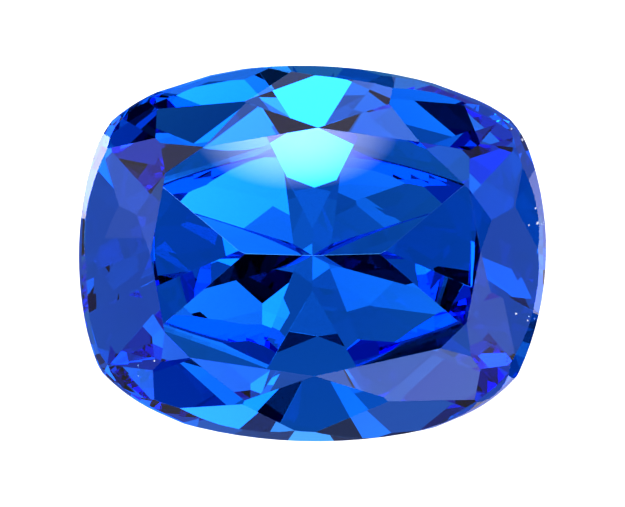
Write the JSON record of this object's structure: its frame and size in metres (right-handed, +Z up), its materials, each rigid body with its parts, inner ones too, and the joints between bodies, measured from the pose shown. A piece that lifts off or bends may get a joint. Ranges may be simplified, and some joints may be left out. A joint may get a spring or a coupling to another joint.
{
  "type": "cushion-cut tanzanite gemstone",
  "caption": "Faceted violet-blue tanzanite with a rounded cushion outline, a large flat table and a deep pavilion, for setting in jewellery.",
  "frame": {"origin": "centre of the stone's bounding box in plan, on the floor it lies on", "axes": "+X along the stone's length, +Z up, with the resting facet facing -Z and the table facing -Y and up"},
  "size_m": [0.0126, 0.0076, 0.0071],
  "materials": {
    "stone": "polished facets, see-through violet blue"
  },
  "bodies": {
    "root": {"stone": "stone"}
  },
  "joints": []
}
